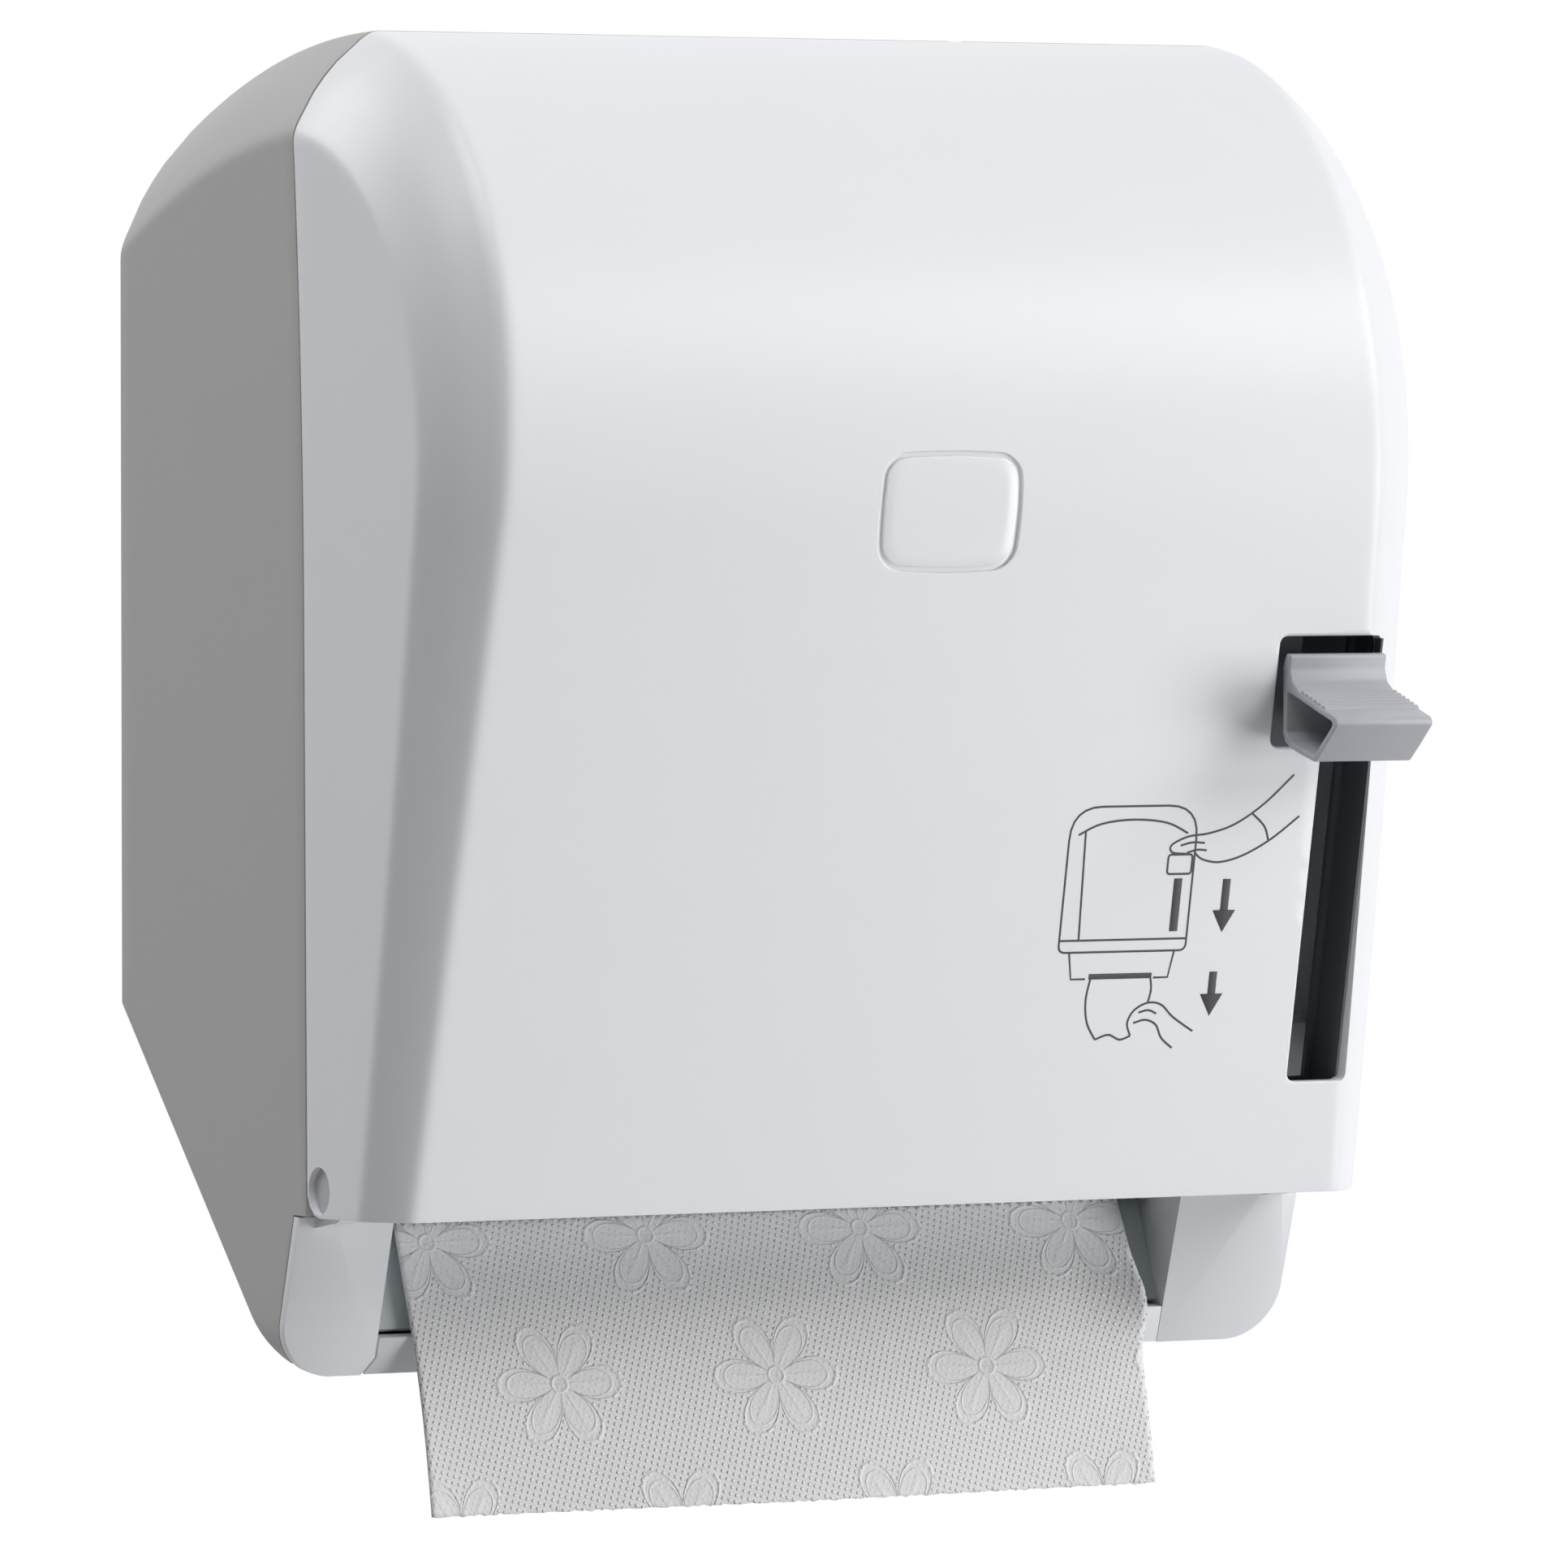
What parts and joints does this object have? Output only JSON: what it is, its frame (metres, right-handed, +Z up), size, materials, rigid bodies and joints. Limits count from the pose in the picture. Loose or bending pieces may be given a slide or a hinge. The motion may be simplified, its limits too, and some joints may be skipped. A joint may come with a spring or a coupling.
{
  "type": "lever paper towel dispenser",
  "caption": "Wall-mounted roll towel dispenser: pressing the side lever turns a feed roller that pushes paper out below; the front cover hinges down to load a roll.",
  "frame": {"origin": "middle of the four wall screws, on the wall plane", "axes": "+X to the user's right, +Y into the wall, +Z up; the user stands at -Y"},
  "size_m": [0.29, 0.2294, 0.385],
  "materials": {
    "cover_white": "satin moulded, white",
    "housing_grey": "fine matt, mid grey",
    "chin_grey": "satin, light grey",
    "frame_grey": "plain, slate grey",
    "gear_plastic": "plain, natural",
    "lever_grey": "satin, mid grey",
    "liner_charcoal": "matt, charcoal",
    "steel": "bright",
    "roller_rubber": "ground, matt",
    "paper": "embossed tissue, matt",
    "cardboard": "raw cardboard"
  },
  "bodies": {
    "base": {"back_housing": "housing_grey", "left_cheek": "chin_grey", "right_cheek": "chin_grey", "bottom_bar": "chin_grey", "hinge_pin_left": "chin_grey", "hinge_pin_right": "chin_grey", "arm_bracket_left": "frame_grey", "arm_bracket_right": "frame_grey", "arm_pin_left": "steel", "arm_pin_right": "steel", "side_plate_left": "frame_grey", "side_plate_right": "frame_grey", "shaft_bush_left": "gear_plastic", "shaft_bush_right": "gear_plastic", "pinch_springs": "steel", "tear_bar": "steel", "front_rail": "frame_grey", "paper_guide": "frame_grey", "paper_sheet": "paper", "lever_axle": "steel", "lever_spring": "steel", "mechanism_cover": "liner_charcoal", "lever_shroud": "liner_charcoal", "latch_bracket": "frame_grey", "latch_pin": "steel", "latch_spring": "steel", "module_screws": "steel"},
    "cover": {"front_cover": "cover_white", "badge_plate": "cover_white", "cover_catch": "cover_white"},
    "lever": {"lever_arm": "gear_plastic", "lever_paddle": "lever_grey"},
    "pinion": {"drive_pinion": "gear_plastic"},
    "feed_roller": {"feed_shaft": "steel", "feed_roller_tube": "frame_grey", "feed_sleeves": "roller_rubber", "clutch_hub": "gear_plastic"},
    "pinch_frame": {"pinch_frame": "frame_grey"},
    "pinch_roller": {"pinch_shaft": "steel", "pinch_roller_tube": "frame_grey", "pinch_sleeves": "roller_rubber"},
    "roll": {"paper_roll": "paper", "roll_core": "cardboard"},
    "left_arm": {"roll_arm_left": "frame_grey", "roll_hub_left": "frame_grey"},
    "right_arm": {"roll_arm_right": "frame_grey", "roll_hub_right": "frame_grey"},
    "latch": {"lock_latch": "frame_grey"}
  },
  "joints": [
    {"name": "cover_hinge", "type": "hinge", "parent": "base", "child": "cover", "pos_m": [0, -0.137, -0.151], "axis": [1, 0, 0], "range_deg": [0, 90]},
    {"name": "lever_press", "type": "hinge", "parent": "base", "child": "lever", "pos_m": [0, -0.05, -0.05241], "axis": [1, 0, 0], "range_deg": [0, 33], "stiffness_Nm_per_rad": 0.4, "springref_deg": -34.38, "deforming": ["lever_spring"]},
    {"name": "pinion_spin", "type": "hinge", "parent": "base", "child": "pinion", "pos_m": [0, -0.107, -0.137], "axis": [1, 0, 0], "range_deg": [-260, 5]},
    {"name": "feed_spin", "type": "hinge", "parent": "base", "child": "feed_roller", "pos_m": [0, -0.107, -0.137], "axis": [1, 0, 0], "range_deg": [-260, 5]},
    {"name": "pinch_lift", "type": "hinge", "parent": "base", "child": "pinch_frame", "pos_m": [0, -0.072, -0.103], "axis": [1, 0, 0], "range_deg": [0, 8], "stiffness_Nm_per_rad": 2, "springref_deg": -11.46, "deforming": ["pinch_springs"]},
    {"name": "pinch_spin", "type": "hinge", "parent": "pinch_frame", "child": "pinch_roller", "pos_m": [0, -0.07804, -0.13548], "axis": [1, 0, 0], "range_deg": [-5, 300]},
    {"name": "roll_spin", "type": "hinge", "parent": "base", "child": "roll", "pos_m": [0, -0.1, 0.033], "axis": [1, 0, 0], "range_deg": [-2, 45]},
    {"name": "left_arm_swing", "type": "hinge", "parent": "base", "child": "left_arm", "pos_m": [-0.1148, -0.012, 0.033], "axis": [0, 0, 1], "range_deg": [-12, 0], "stiffness_Nm_per_rad": 0.5, "springref_deg": 17.19},
    {"name": "right_arm_swing", "type": "hinge", "parent": "base", "child": "right_arm", "pos_m": [0.1068, -0.012, 0.033], "axis": [0, 0, 1], "range_deg": [0, 12], "stiffness_Nm_per_rad": 0.5, "springref_deg": -17.19},
    {"name": "latch_release", "type": "hinge", "parent": "base", "child": "latch", "pos_m": [0, -0.098, 0.1305], "axis": [1, 0, 0], "range_deg": [0, 12], "stiffness_Nm_per_rad": 0.05, "springref_deg": -17.19, "deforming": ["latch_spring"]}
  ],
  "couplings": [
    {"joint": "pinion_spin", "follows": "lever_press", "ratio": -7.5},
    {"joint": "feed_spin", "follows": "lever_press", "ratio": -7.5},
    {"joint": "pinch_spin", "follows": "lever_press", "ratio": 8.6538},
    {"joint": "roll_spin", "follows": "lever_press", "ratio": 1.25}
  ]
}
